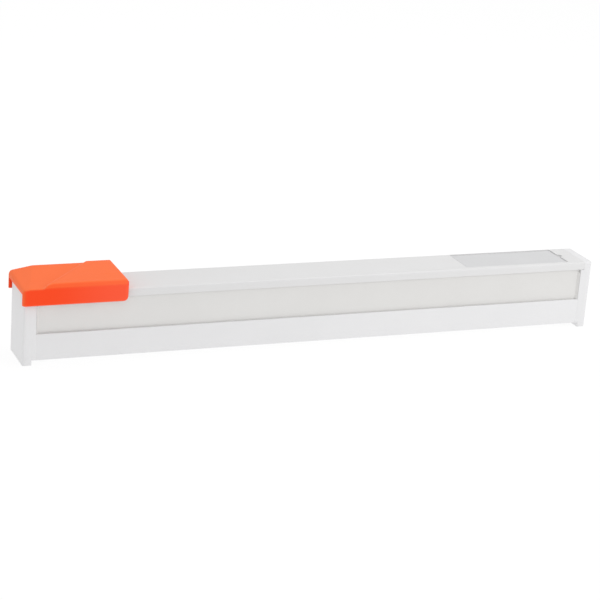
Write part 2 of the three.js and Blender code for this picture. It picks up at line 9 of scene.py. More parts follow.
# %% Load the design
import math
import bpy
import bmesh
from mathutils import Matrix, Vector


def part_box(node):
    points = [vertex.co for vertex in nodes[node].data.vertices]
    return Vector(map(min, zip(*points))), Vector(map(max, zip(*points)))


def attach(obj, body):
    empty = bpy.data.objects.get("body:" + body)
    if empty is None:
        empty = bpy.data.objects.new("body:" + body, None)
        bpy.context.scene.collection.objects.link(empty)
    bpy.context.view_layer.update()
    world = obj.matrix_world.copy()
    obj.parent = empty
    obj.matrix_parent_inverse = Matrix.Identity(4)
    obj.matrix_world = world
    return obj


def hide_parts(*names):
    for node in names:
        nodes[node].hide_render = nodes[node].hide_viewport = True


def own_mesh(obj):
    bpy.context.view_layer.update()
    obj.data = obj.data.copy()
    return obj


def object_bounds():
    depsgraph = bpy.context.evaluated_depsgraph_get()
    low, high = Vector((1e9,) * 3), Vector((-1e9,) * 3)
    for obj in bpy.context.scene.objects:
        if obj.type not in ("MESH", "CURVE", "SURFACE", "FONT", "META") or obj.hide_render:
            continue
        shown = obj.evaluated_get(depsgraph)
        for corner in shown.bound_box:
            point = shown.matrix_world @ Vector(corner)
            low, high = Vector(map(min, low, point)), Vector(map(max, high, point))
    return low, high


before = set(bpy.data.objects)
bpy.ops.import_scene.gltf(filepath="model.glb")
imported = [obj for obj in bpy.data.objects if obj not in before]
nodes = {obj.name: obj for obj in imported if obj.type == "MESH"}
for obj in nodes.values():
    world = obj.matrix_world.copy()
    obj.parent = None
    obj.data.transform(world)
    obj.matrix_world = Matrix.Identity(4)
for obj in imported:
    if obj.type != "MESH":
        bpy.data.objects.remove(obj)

design_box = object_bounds()
MM = 0.001
low, high = (Vector(corner) for corner in design_box)
print("design size in mm:", [round(side / MM, 1) for side in high - low])

# %% [markdown]
# ## Small tools
#
# An operator in Blender acts on whatever is selected, so each helper clears the selection first. The
# helpers stay short: one picks faces or edges by a test on their place, one bakes a modifier into the
# mesh, and one adds a block between two corners.


# %% Selection and modifier helpers
def only(obj):
    """Leaves this object alone selected and active."""
    if bpy.context.object and bpy.context.object.mode != "OBJECT":
        bpy.ops.object.mode_set(mode="OBJECT")
    bpy.ops.object.select_all(action="DESELECT")
    obj.select_set(True)
    bpy.context.view_layer.objects.active = obj


def settle(obj):
    """Writes the object's place, turn and scale into its mesh."""
    only(obj)
    bpy.ops.object.transform_apply(location=True, rotation=True, scale=True)
    return obj


def named(name):
    """Names the object that was just added."""
    obj = bpy.context.object
    obj.name = name
    obj.data.name = name
    return settle(obj)


def bake(obj, kind, **settings):
    """Adds one modifier, sets it and applies it."""
    only(obj)
    modifier = obj.modifiers.new(kind.title(), kind)
    for key, value in settings.items():
        setattr(modifier, key, value)
    bpy.ops.object.modifier_apply(modifier=modifier.name)


def pick_edges(obj, test):
    """Selects the edges whose two ends both pass the test, and opens edit mode on them."""
    only(obj)
    mesh = obj.data
    for face in mesh.polygons:
        face.select = False
    for vertex in mesh.vertices:
        vertex.select = False
    for edge in mesh.edges:
        a, b = (mesh.vertices[i].co for i in edge.vertices)
        edge.select = bool(test(a, b))
    bpy.context.tool_settings.mesh_select_mode = (False, True, False)
    bpy.ops.object.mode_set(mode="EDIT")


def pick_faces(obj, test):
    """Selects the faces that pass a test on centre and normal, and opens edit mode on them."""
    only(obj)
    mesh = obj.data
    for vertex in mesh.vertices:
        vertex.select = False
    for edge in mesh.edges:
        edge.select = False
    for face in mesh.polygons:
        face.select = bool(test(face.center, face.normal))
    bpy.context.tool_settings.mesh_select_mode = (False, False, True)
    bpy.ops.object.mode_set(mode="EDIT")


def block(name, corner_a, corner_b):
    """A box between two corners."""
    a, b = Vector(corner_a), Vector(corner_b)
    bpy.ops.object.select_all(action="DESELECT")
    bpy.ops.mesh.primitive_cube_add(size=1, location=(a + b) / 2)
    bpy.context.object.scale = b - a
    return named(name)


def slice_off(obj, point, outward, keep_outer=False):
    """Cuts the mesh with a plane, fills the cut and drops the outer side, or the inner one."""
    only(obj)
    bpy.ops.object.mode_set(mode="EDIT")
    bpy.ops.mesh.select_all(action="SELECT")
    bpy.ops.mesh.bisect(plane_co=point, plane_no=Vector(outward).normalized(), use_fill=True,
                        clear_outer=not keep_outer, clear_inner=keep_outer)
    bpy.ops.object.mode_set(mode="OBJECT")


def round_edges(obj, test, radius, segments=6):
    """Rounds the edges whose two ends pass the test."""
    pick_edges(obj, test)
    bpy.ops.mesh.bevel(offset=radius, segments=segments, affect="EDGES", clamp_overlap=True)
    bpy.ops.object.mode_set(mode="OBJECT")


def combine(obj, other, operation):
    """Joins, cuts or keeps what two solids share, and removes the second one."""
    bake(obj, "BOOLEAN", object=other, operation=operation, solver="EXACT")
    bpy.data.objects.remove(other)


WELD = 0.004 * MM
NEARLY_FLAT = math.radians(0.6)


def tidy_faces(obj):
    """Welds loose points and dissolves flat neighbours into one face."""
    only(obj)
    bpy.ops.object.mode_set(mode="EDIT")
    bpy.ops.mesh.select_all(action="SELECT")
    bpy.ops.mesh.remove_doubles(threshold=WELD)
    bpy.ops.mesh.dissolve_limited(angle_limit=NEARLY_FLAT)
    bpy.ops.object.mode_set(mode="OBJECT")


def turned(name, profile, place, axis="X", sides=96):
    """A turned solid: a ring is extruded and resized along the profile of (height, radius) pairs."""
    (height, radius), *rest = profile
    bpy.ops.object.select_all(action="DESELECT")
    bpy.ops.mesh.primitive_circle_add(vertices=sides, radius=radius, location=(0, 0, 0))
    obj = bpy.context.object
    bpy.ops.object.mode_set(mode="EDIT")
    bpy.ops.transform.translate(value=(0, 0, height))
    closed = profile[0] == profile[-1]
    if not closed:
        bpy.ops.mesh.edge_face_add()
        bpy.ops.mesh.select_all(action="SELECT")
    for next_height, next_radius in rest:
        bpy.ops.mesh.extrude_edges_move(
            TRANSFORM_OT_translate={"value": (0, 0, next_height - height)})
        ratio = next_radius / radius
        bpy.ops.transform.resize(value=(ratio, ratio, 1), center_override=(0, 0, next_height))
        height, radius = next_height, next_radius
    if not closed:
        bpy.ops.mesh.edge_face_add()
    bpy.ops.mesh.select_all(action="SELECT")
    bpy.ops.mesh.remove_doubles(threshold=0.001 * MM)
    bpy.ops.mesh.normals_make_consistent(inside=False)
    bpy.ops.object.mode_set(mode="OBJECT")
    if axis == "X":
        obj.rotation_euler = (0, math.pi / 2, 0)
    obj.location = place
    return named(name)


def soften(obj, angle=30):
    """Smooth shading, with edges sharper than the angle kept crisp."""
    only(obj)
    bpy.ops.object.shade_smooth_by_angle(angle=math.radians(angle))


def report(obj):
    """Prints a piece's size and its face count."""
    size = [round(side / MM, 1) for side in obj.dimensions]
    print(f"{obj.name}: {size} mm, {len(obj.data.polygons)} faces")


def corners_of(node):
    """The lowest and highest corner of a designed piece."""
    return [Vector(corner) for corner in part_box(node)]


# %% [markdown]
# ## Rounded copies
#
# Moulded and extruded plastic never has a knife edge. A mould is cut with a small radius everywhere,
# and that radius draws the fine bright line along each outer corner. Where the design's shape is
# already right, the quickest honest way is to copy it, weld its loose triangles, dissolve them into
# flat faces and bevel the outer corners. Inner corners are left alone, because rounding them would
# open the seams between neighbouring pieces.


# %% Copy a designed piece and round its outer corners
def outer_corners(obj, angle):
    """Gives a bevel weight to each edge that sticks out and is sharper than the angle."""
    only(obj)
    mesh = bmesh.new()
    mesh.from_mesh(obj.data)
    weight = mesh.edges.layers.float.new("bevel_weight_edge")
    for edge in mesh.edges:
        sharp = edge.is_manifold and edge.calc_face_angle() > math.radians(angle)
        edge[weight] = 1.0 if sharp and edge.is_convex else 0.0
    mesh.to_mesh(obj.data)
    mesh.free()


def rounded_copy(node, radius, segments=3, angle=35, closer=0.0):
    """A welded copy of a designed piece with a fine radius on its outer corners. Its two ends may
    come a little closer to their neighbours, as fitted pieces touch where a design keeps a gap."""
    copy = bpy.data.objects.new(node + "_finished", nodes[node].data.copy())
    bpy.context.scene.collection.objects.link(copy)
    copy.data.materials.clear()
    tidy_faces(copy)
    end_low, end_high = (corner.x for corner in corners_of(node))
    if closer:
        bpy.ops.object.mode_set(mode="EDIT")
        bpy.ops.mesh.select_all(action="SELECT")
        bpy.ops.transform.resize(value=(1 + 2 * closer * MM / (end_high - end_low), 1, 1),
                                 center_override=((end_low + end_high) / 2, 0, 0))
        bpy.ops.object.mode_set(mode="OBJECT")
    outer_corners(copy, angle)
    bake(copy, "BEVEL", width=radius * MM, segments=segments, limit_method="WEIGHT",
         use_clamp_overlap=True)
    soften(copy, 40)
    return copy


# %% [markdown]
# ## Camera
#
# A product shot of something this long is taken from well back with a long lens, so the far end
# shrinks only a little. The camera stands at the left, looks down by about nineteen degrees and is
# rolled by a few degrees, which is why the box climbs towards the right.

# %% Place the camera
CAMERA_PLACE = (-0.4049, -0.9224, 0.3645)
CAMERA_TURN = (71.15, -4.15, -21.88)
LENS_MM = 113.55

camera_data = bpy.data.cameras.new("studio_camera")
camera_data.lens = LENS_MM
camera_data.sensor_width = 36
camera_data.clip_start = 0.01
camera = bpy.data.objects.new("studio_camera", camera_data)
camera.location = CAMERA_PLACE
camera.rotation_euler = [math.radians(turn) for turn in CAMERA_TURN]
bpy.context.scene.collection.objects.link(camera)
bpy.context.scene.camera = camera
print("camera stands", round(Vector(CAMERA_PLACE).length, 3), "m from the middle")

# %% [markdown]
# ## Floor and light
#
# White plastic on a white sweep needs even light, so an all-round pale sky does most of the work. The
# floor is a light table, lit from below, which lifts the front faces and leaves hardly any shadow.
# One large soft panel overhead brightens the tops, and one at the right makes the far end a little
# brighter than the near one. The view transform is Standard, so white stays white.

# %% Floor
FLOOR_SIZE = 6.0
TABLE_GLOW = 0.88
bpy.ops.object.select_all(action="DESELECT")
bpy.ops.mesh.primitive_plane_add(size=FLOOR_SIZE, location=(0, 0, 0))
floor = named("studio_floor")

floor_paint = bpy.data.materials.new("light_table")
floor_paint.use_nodes = True
floor_shader = floor_paint.node_tree.nodes["Principled BSDF"]
floor_shader.inputs["Base Color"].default_value = (0.14, 0.14, 0.14, 1)
floor_shader.inputs["Roughness"].default_value = 0.9
floor_shader.inputs["Specular IOR Level"].default_value = 0.0
floor_shader.inputs["Emission Color"].default_value = (1, 1, 1, 1)
floor_shader.inputs["Emission Strength"].default_value = TABLE_GLOW
floor.data.materials.append(floor_paint)

# %% Sky and soft panels
SKY_LIGHT = 0.72
scene = bpy.context.scene
scene.view_settings.view_transform = "Standard"
world = bpy.data.worlds.new("studio_sky")
scene.world = world
world.use_nodes = True
sky = world.node_tree
backdrop = sky.nodes["Background"]
backdrop.inputs["Color"].default_value = (1, 1, 1, 1)
seen = sky.nodes.new("ShaderNodeLightPath")
brightness = sky.nodes.new("ShaderNodeMix")
brightness.inputs[2].default_value = SKY_LIGHT
brightness.inputs[3].default_value = 1.0
sky.links.new(seen.outputs["Is Camera Ray"], brightness.inputs[0])
sky.links.new(brightness.outputs[0], backdrop.inputs["Strength"])


def soft_panel(name, place, aim, size, power):
    """A square area light at a place, turned towards a point."""
    data = bpy.data.lights.new(name, "AREA")
    data.shape = "SQUARE"
    data.size = size
    data.energy = power
    lamp = bpy.data.objects.new(name, data)
    lamp.location = place
    lamp.rotation_euler = (Vector(aim) - Vector(place)).to_track_quat("-Z", "Y").to_euler()
    scene.collection.objects.link(lamp)


TOP_WATTS = 4.4
RIGHT_WATTS = 0.95
soft_panel("top_panel", (0.2, 0.1, 1.2), (0.05, 0, 0), 0.9, TOP_WATTS)
soft_panel("right_panel", (0.45, -0.5, 0.3), (0.12, 0, 0.02), 0.45, RIGHT_WATTS)

# %% [markdown]
# ## Shared effects
#
# Several finishes need the same three effects, so each is a node group with its own inputs. Moulded
# grain is two sizes of soft noise. Edge wear, with a painted highlight along the corners, compares the
# true normal with one that is rounded over a small radius: they differ only near corners. Fine scuffs
# are noise stretched along X, of which only the highest crests are kept.


# %% Build a node group from a short recipe
def new_group(name, inputs, outputs):
    """An empty shader group with named float inputs and named outputs."""
    group = bpy.data.node_groups.new(name, "ShaderNodeTree")
    for label, value in inputs.items():
        socket = group.interface.new_socket(label, in_out="INPUT", socket_type="NodeSocketFloat")
        socket.default_value = value
    for label in outputs:
        group.interface.new_socket(label, in_out="OUTPUT", socket_type="NodeSocketFloat")
    entry = group.nodes.new("NodeGroupInput")
    leave = group.nodes.new("NodeGroupOutput")
    return group, entry, leave


def math_node(tree, operation, a, b=None):
    """A Math node with each input either linked or set."""
    node = tree.nodes.new("ShaderNodeMath")
    node.operation = operation
    for i, value in enumerate((a, b)):
        if value is None:
            continue
        if isinstance(value, (int, float)):
            node.inputs[i].default_value = value
        else:
            tree.links.new(value, node.inputs[i])
    return node.outputs[0]


def noise_node(tree, vector, scale, detail=3.0, roughness=0.5):
    """A Noise texture read at a vector."""
    node = tree.nodes.new("ShaderNodeTexNoise")
    node.inputs["Detail"].default_value = detail
    node.inputs["Roughness"].default_value = roughness
    tree.links.new(vector, node.inputs["Vector"])
    if isinstance(scale, (int, float)):
        node.inputs["Scale"].default_value = scale
    else:
        tree.links.new(scale, node.inputs["Scale"])
    return node.outputs["Fac"]


# %% Moulded grain
grain_group, entry, leave = new_group(
    "moulded_grain", {"Fine Scale": 2600.0, "Cloud Scale": 45.0}, ["Height", "Cloud"])
place_in = grain_group.nodes.new("ShaderNodeTexCoord").outputs["Object"]
fine = noise_node(grain_group, place_in, entry.outputs["Fine Scale"], 2.0)
cloud = noise_node(grain_group, place_in, entry.outputs["Cloud Scale"], 4.0)
grain_group.links.new(fine, leave.inputs["Height"])
grain_group.links.new(cloud, leave.inputs["Cloud"])

# %% Edge wear and painted highlight
# The mask marks corners for rubbed wear and for a painted highlight.
EDGE_RADIUS = 0.5 * MM
wear_highlight_group, entry, leave = new_group(
    "edge_wear_and_highlight", {"Strength": 6.0, "Patch Scale": 120.0, "Radius": EDGE_RADIUS}, ["Mask"])
rounded = wear_highlight_group.nodes.new("ShaderNodeBevel")
rounded.samples = 4
wear_highlight_group.links.new(entry.outputs["Radius"], rounded.inputs["Radius"])
surface = wear_highlight_group.nodes.new("ShaderNodeNewGeometry")
alike = wear_highlight_group.nodes.new("ShaderNodeVectorMath")
alike.operation = "DOT_PRODUCT"
wear_highlight_group.links.new(rounded.outputs["Normal"], alike.inputs[0])
wear_highlight_group.links.new(surface.outputs["Normal"], alike.inputs[1])
differ = math_node(wear_highlight_group, "SUBTRACT", 1.0, alike.outputs["Value"])
strong = math_node(wear_highlight_group, "MULTIPLY", differ, entry.outputs["Strength"])
patch_place = wear_highlight_group.nodes.new("ShaderNodeTexCoord").outputs["Object"]
patches = noise_node(wear_highlight_group, patch_place, entry.outputs["Patch Scale"], 4.0)
broken = math_node(wear_highlight_group, "MULTIPLY", strong, patches)
clamped = math_node(wear_highlight_group, "MINIMUM", broken, 1.0)
wear_highlight_group.links.new(clamped, leave.inputs["Mask"])

# %% Fine scuffs
SCUFF_STRETCH = 0.06
CREST_LEVEL = 0.57
CREST_GAIN = 9.0
scuff_group, entry, leave = new_group("fine_scuffs", {"Scale": 300.0, "Amount": 0.5}, ["Mask"])
scuff_place = scuff_group.nodes.new("ShaderNodeTexCoord").outputs["Object"]
stretch = scuff_group.nodes.new("ShaderNodeMapping")
stretch.inputs["Scale"].default_value = (SCUFF_STRETCH, 1.0, 1.0)
scuff_group.links.new(scuff_place, stretch.inputs["Vector"])
lines = noise_node(scuff_group, stretch.outputs["Vector"], entry.outputs["Scale"], 5.0, 0.62)
crests = math_node(scuff_group, "SUBTRACT", lines, CREST_LEVEL)
raised = math_node(scuff_group, "MULTIPLY", crests, CREST_GAIN)
floored = math_node(scuff_group, "MAXIMUM", raised, 0.0)
capped = math_node(scuff_group, "MINIMUM", floored, 1.0)
scaled = math_node(scuff_group, "MULTIPLY", capped, entry.outputs["Amount"])
scuff_group.links.new(scaled, leave.inputs["Mask"])


# %% [markdown]
# ## Finishes
#
# Every plastic here is the same recipe with its own values. A colour ramp moves the base colour a
# little with the cloud noise, edges are paler and smoother, partly as rubbed wear and partly as a
# painted highlight, scuffs are rougher, and the grain lifts the surface through a Bump node. What
# differs is how far each value goes. The orange cover is painted lighter where it faces up or to the
# left, and painted lighter towards its right end, both as painted light.

# %% The plastic recipe
# Direction of the painted light on the orange cover.
PAINTED_LIGHT_FROM = (-0.7, 0.0, 1.0)
CLOUD_ROUGHNESS = 0.05
SCUFF_ROUGHNESS = 0.22
POLISH = 0.12
ROUGHEST = 0.95
BUMP_STRENGTH = 0.35


def group_node(tree, group, **values):
    """Places a shared effect in a material, with its own values."""
    node = tree.nodes.new("ShaderNodeGroup")
    node.node_tree = group
    for label, value in values.items():
        node.inputs[label.replace("_", " ")].default_value = value
    return node


def blend_colour(tree, factor, first, second):
    """Mixes two colours by a factor; a colour is a tuple or a socket."""
    node = tree.nodes.new("ShaderNodeMix")
    node.data_type = "RGBA"
    tree.links.new(factor, node.inputs[0])
    for socket, value in ((node.inputs[6], first), (node.inputs[7], second)):
        if isinstance(value, tuple):
            socket.default_value = (*value, 1)
        else:
            tree.links.new(value, socket)
    return node.outputs[2]


def blend_value(tree, factor, first, second):
    """Mixes two numbers by a factor."""
    node = tree.nodes.new("ShaderNodeMix")
    tree.links.new(factor, node.inputs[0])
    for socket, value in ((node.inputs[2], first), (node.inputs[3], second)):
        if isinstance(value, (int, float)):
            socket.default_value = value
        else:
            tree.links.new(value, socket)
    return node.outputs[0]


def plastic(name, deep, pale, worn_highlit_edge, rough, grain=0.02, fine_scale=2600.0, cloud_scale=45.0,
            scuffs=0.35, specular=0.5, wear_highlight_strength=6.0, wear_highlight_radius=EDGE_RADIUS, painted_lit_colour=None, painted_right_light=None):
    """A moulded plastic: two body colours, an edge colour for rubbed wear and painted highlight,
    roughness and grain height in mm. A painted-light colour shows on faces that look up or to the
    left.
    Another painted-light colour grows along X, lighter towards the right end."""
    material = bpy.data.materials.new(name)
    material.use_nodes = True
    tree = material.node_tree
    shader = tree.nodes["Principled BSDF"]
    skin = group_node(tree, grain_group, Fine_Scale=fine_scale, Cloud_Scale=cloud_scale)
    edges = group_node(tree, wear_highlight_group, Strength=wear_highlight_strength, Radius=wear_highlight_radius)
    marks = group_node(tree, scuff_group, Amount=scuffs)
    body = blend_colour(tree, skin.outputs["Cloud"], deep, pale)
    # Painted light: the body is painted lighter towards the right end, along X.
    if painted_right_light:
        start, end, paler = painted_right_light
        spot = tree.nodes.new("ShaderNodeSeparateXYZ")
        tree.links.new(tree.nodes.new("ShaderNodeTexCoord").outputs["Object"], spot.inputs[0])
        towards_right = tree.nodes.new("ShaderNodeMapRange")
        towards_right.interpolation_type = "SMOOTHSTEP"
        towards_right.inputs["From Min"].default_value = start
        towards_right.inputs["From Max"].default_value = end
        tree.links.new(spot.outputs["X"], towards_right.inputs["Value"])
        body = blend_colour(tree, towards_right.outputs["Result"], body, paler)
    # Painted light: faces that look up or to the left are painted lighter.
    if painted_lit_colour:
        facing = tree.nodes.new("ShaderNodeVectorMath")
        facing.operation = "DOT_PRODUCT"
        tree.links.new(tree.nodes.new("ShaderNodeNewGeometry").outputs["Normal"], facing.inputs[0])
        facing.inputs[1].default_value = PAINTED_LIGHT_FROM
        sunlit = math_node(tree, "MAXIMUM", facing.outputs["Value"], 0.0)
        body = blend_colour(tree, math_node(tree, "MINIMUM", sunlit, 1.0), body, painted_lit_colour)
    # Edges take a paler colour, partly rubbed wear and partly painted highlight.
    worn_and_highlit = blend_colour(tree, edges.outputs["Mask"], body, worn_highlit_edge)
    tree.links.new(worn_and_highlit, shader.inputs["Base Color"])
    uneven = blend_value(tree, skin.outputs["Cloud"], rough - CLOUD_ROUGHNESS,
                         rough + CLOUD_ROUGHNESS)
    scuffed = blend_value(tree, marks.outputs["Mask"], uneven,
                          min(rough + SCUFF_ROUGHNESS, ROUGHEST))
    polished = blend_value(tree, edges.outputs["Mask"], scuffed, rough - POLISH)
    tree.links.new(polished, shader.inputs["Roughness"])
    bump = tree.nodes.new("ShaderNodeBump")
    bump.inputs["Strength"].default_value = BUMP_STRENGTH
    bump.inputs["Distance"].default_value = grain * MM
    tree.links.new(skin.outputs["Height"], bump.inputs["Height"])
    tree.links.new(bump.outputs["Normal"], shader.inputs["Normal"])
    shader.inputs["Specular IOR Level"].default_value = specular
    return material


# %% The plastics of this dispenser
white_shell = plastic("white_shell", (0.770, 0.768, 0.776), (0.812, 0.810, 0.816),
                      (0.87, 0.87, 0.87), 0.45, specular=0.35)
# Painted shade: the lid's white is a shade greyer than the trough's, to darken its lip.
lid_white = plastic("lid_white", (0.725, 0.722, 0.722), (0.758, 0.756, 0.757),
                    (0.82, 0.82, 0.82), 0.45, specular=0.35)
window_frost = plastic("window_frost", (0.722, 0.713, 0.698), (0.762, 0.755, 0.742),
                       (0.80, 0.80, 0.79), 0.55, grain=0.03, fine_scale=3600.0, specular=0.3)
# The orange is painted lighter on up and left faces and towards its right end, as painted light; its
# pale edges are partly wear and partly painted highlight.
orange_skin = plastic("orange_skin", (0.99, 0.060, 0.008), (1.0, 0.072, 0.012), (1.0, 0.30, 0.15),
                      0.5, grain=0.015, scuffs=0.25, specular=0.16, wear_highlight_strength=9.0, wear_highlight_radius=MM,
                      painted_lit_colour=(1.0, 0.172, 0.042), painted_right_light=(-0.160, -0.115, (1.0, 0.100, 0.038)))
inner_white = plastic("inner_white", (0.73, 0.73, 0.72), (0.77, 0.77, 0.76), (0.82, 0.82, 0.81), 0.5)
grip_rubber = plastic("grip_rubber", (0.66, 0.66, 0.65), (0.71, 0.71, 0.70), (0.75, 0.75, 0.74),
                      0.8, grain=0.05, specular=0.3)
label_foil = plastic("label_foil", (0.635, 0.635, 0.642), (0.675, 0.675, 0.682), (0.78, 0.78, 0.78),
                     0.4, grain=0.008, fine_scale=4200.0, scuffs=0.5, specular=0.35)


# %% [markdown]
# ## Steel, card and film
#
# Brushed steel is noise squeezed into lines, read by both roughness and bump. The card core is a
# spiral of paper, so its colour follows slanting bands. The wound film is clear plastic, stacked in
# hundreds of turns, so it looks milky and its rim shows fine rings.

# %% Steel, card and film
LINE_SHEEN = 0.08
LINE_GRIT = 0.1
LINE_STRENGTH = 0.5


def striped(name, dark, light, rough, metallic, direction, scale, bump_mm=0.004, coat=0.0):
    """A surface whose fibres or brush lines are squeezed noise along one direction."""
    material = bpy.data.materials.new(name)
    material.use_nodes = True
    tree = material.node_tree
    shader = tree.nodes["Principled BSDF"]
    where = tree.nodes.new("ShaderNodeTexCoord").outputs["Object"]
    squeeze = tree.nodes.new("ShaderNodeMapping")
    squeeze.inputs["Scale"].default_value = direction
    tree.links.new(where, squeeze.inputs["Vector"])
    lines = noise_node(tree, squeeze.outputs["Vector"], scale, 4.0, 0.6)
    tree.links.new(blend_colour(tree, lines, dark, light), shader.inputs["Base Color"])
    uneven = blend_value(tree, lines, rough - LINE_SHEEN, rough + LINE_GRIT)
    tree.links.new(uneven, shader.inputs["Roughness"])
    bump = tree.nodes.new("ShaderNodeBump")
    bump.inputs["Strength"].default_value = LINE_STRENGTH
    bump.inputs["Distance"].default_value = bump_mm * MM
    tree.links.new(lines, bump.inputs["Height"])
    tree.links.new(bump.outputs["Normal"], shader.inputs["Normal"])
    shader.inputs["Metallic"].default_value = metallic
    shader.inputs["Coat Weight"].default_value = coat
    return material


steel = striped("brushed_steel", (0.55, 0.55, 0.56), (0.74, 0.74, 0.75), 0.28, 1.0,
                (0.08, 1.0, 1.0), 1400.0)
card = striped("wound_card", (0.40, 0.27, 0.16), (0.56, 0.41, 0.26), 0.8, 0.0,
               (0.5, 1.0, 1.0), 500.0, 0.03)
film = striped("wound_film", (0.66, 0.74, 0.77), (0.80, 0.85, 0.87), 0.22, 0.0,
               (1.0, 0.15, 0.15), 260.0, 0.01, coat=0.4)

# %% [markdown]
# ## The white body
#
# The trough, the end caps and the lid rail are extruded or moulded in white plastic. Their shapes are
# settled by the design, so each is a rounded copy. The extruded edges get a finer radius than the
# moulded ones. The lid's white is painted a shade greyer than the trough's, as painted shade for its
# darker lip.


# %% Every finished piece is declared the same way
def declare(piece, body, slot, material, *replaced):
    """Gives a finished piece its material and its body, and hides the designed nodes it replaces. The
    slot is not used.
    """
    piece.data.materials.clear()
    piece.data.materials.append(material)
    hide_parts(*replaced)
    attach(piece, body)
    report(piece)


def dress(node, body, material, slot, radius=0.2, closer=0.0):
    """Replaces a designed node by its rounded copy in a finish."""
    declare(rounded_copy(node, radius, closer=closer), body, slot, material, node)


# %% Trough, window, caps, lid and the moulded inner pieces
SEAM_CLOSER = 0.145
dress("base_trough", "base", white_shell, "white_shell", 0.12, SEAM_CLOSER)
dress("film_grip_strip", "base", grip_rubber, "grip", 0.15)
dress("left_end_cap", "base", white_shell, "white_shell", 0.3)
dress("right_end_cap", "base", white_shell, "white_shell", 0.3)
dress("lid_rail", "lid", lid_white, "white_shell", 0.15, SEAM_CLOSER)
dress("left_lid_latch", "lid", inner_white, "inner_white", 0.2)
dress("right_lid_latch", "lid", inner_white, "inner_white", 0.2)
dress("fixed_hub", "base", inner_white, "inner_white", 0.2)
dress("sprung_hub", "hub", inner_white, "inner_white", 0.2)
dress("hub_ring", "base", inner_white, "inner_white", 0.2)
dress("slider_carriage", "slider", inner_white, "inner_white", 0.15)
dress("blade", "slider", steel, "steel", 0.04)

# %% [markdown]
# ## The front window
#
# The window's foot stands in a channel of the trough. A slim bead along its front fills most of that
# channel, so the seam reads as a fine grey line and not as a deep black gap. A sloped fillet at each
# end does the same for the corners, and stops below the slider's hooks. They are blocks, sliced and
# then joined to the rounded copy.

# %% Window with a bead along its foot and a fillet at each end
window_low, _ = corners_of("front_window")
trough_low, trough_high = corners_of("base_trough")
BEAD_REACH = 0.44 * MM
BEAD_TOP = 17.2 * MM
BEAD_LIFT = 0.1 * MM
ROOT = 0.5 * MM
FILLET_WIDTH = 1.2 * MM
FILLET_REACH = 1.3 * MM
FILLET_TOP = 34.0 * MM
SEAM_TOP = 17.5 * MM
window = rounded_copy("front_window", 0.06, closer=SEAM_CLOSER)
bead = block("bead", (trough_low.x, window_low.y - BEAD_REACH, window_low.z + BEAD_LIFT),
             (trough_high.x, window_low.y + ROOT, BEAD_TOP))
combine(window, bead, "UNION")
for left, thin_edge, lean in ((trough_low.x, trough_low.x + FILLET_WIDTH, 1),
                              (trough_high.x - FILLET_WIDTH, trough_high.x - FILLET_WIDTH, -1)):
    fillet = block("fillet", (left, window_low.y - FILLET_REACH, SEAM_TOP),
                   (left + FILLET_WIDTH, window_low.y + ROOT, FILLET_TOP))
    slice_off(fillet, (thin_edge, window_low.y, 0), (lean * FILLET_REACH, -FILLET_WIDTH, 0))
    combine(window, fillet, "UNION")
# The copy brought its own shading normals, which don't fit the newly cut faces.
only(window)
bpy.ops.mesh.customdata_custom_splitnormals_clear()
soften(window, 30)
declare(window, "base", "window", window_frost, "front_window")

# %% [markdown]
# ## The slider's cover
#
# The cover is one moulding: a long block, bevelled along the front, with a flat top at the right and
# lower facets that fall away to an open left end. Its corners are softer than the rest, because
# fingers hold it. We start from two blocks, one rounded as seen from the front and one as seen from
# above, and keep what they share. Planes then slice the bevels, a wedge takes the low facet out, and
# a last plane slices the ramp that falls away to the rim.

# %% Measures of the cover
cover_low, cover_high = corners_of("slider_cover")
carriage_low, carriage_high = corners_of("slider_carriage")
lid_low, lid_high = corners_of("lid_rail")
cover_x0, cover_x1 = cover_low.x, cover_high.x
cover_side = cover_high.y
cover_foot, cover_top = cover_low.z, cover_high.z
REACH = 5 * MM
TOP_TILT = 0.8 * MM
BEVEL_IN = 1.4 * MM
BEVEL_DROP = 2.2 * MM
END_BEVEL = (1.5 * MM, 2.5 * MM)
print("cover:", [round(side / MM, 1) for side in cover_high - cover_low], "mm")

# %% Two rounded blocks, and what they share
RAMP_LENGTH = 14.4 * MM
RAMP_RISE = 2.5 * MM
RAMP_START = (3.7 * MM, 3.1 * MM)
RIM_TOP_ROUND = 2.3 * MM
RIM_SIDE_ROUND = 1.8 * MM
FOOT_ROUND = 3.2 * MM
CORNER_ROUND = 2.2 * MM
cover = block("orange_cover", (cover_x0, -cover_side - REACH, cover_foot),
              (cover_x1, cover_side + REACH, cover_top))
slice_off(cover, (cover_x0, 0, cover_top - RAMP_START[1]), (-RAMP_RISE, 0, RAMP_LENGTH))
round_edges(cover, lambda a, b: all(p.x < cover_x0 + MM and p.z > cover_foot + MM for p in (a, b)),
            RIM_TOP_ROUND, 8)
round_edges(cover, lambda a, b: all(p.x > cover_x1 - MM and p.z < cover_foot + MM for p in (a, b)),
            FOOT_ROUND, 8)
plan = block("plan_block", (cover_x0, -cover_side, cover_foot - REACH),
             (cover_x1, cover_side, cover_top + REACH))
round_edges(plan, lambda a, b: abs(a.z - b.z) > MM and a.x < cover_x0 + MM, RIM_SIDE_ROUND)
round_edges(plan, lambda a, b: abs(a.z - b.z) > MM and a.x > cover_x1 - MM, CORNER_ROUND)
combine(cover, plan, "INTERSECT")

# %% Slice the bevels
front_top = Vector((0, -cover_side + BEVEL_IN, cover_top - TOP_TILT))
slice_off(cover, front_top, (0, -TOP_TILT, 2 * cover_side - BEVEL_IN))
slice_off(cover, front_top, (0, -BEVEL_DROP, BEVEL_IN))
slice_off(cover, (cover_x1, 0, cover_top - END_BEVEL[1]), (END_BEVEL[1], 0, END_BEVEL[0]))

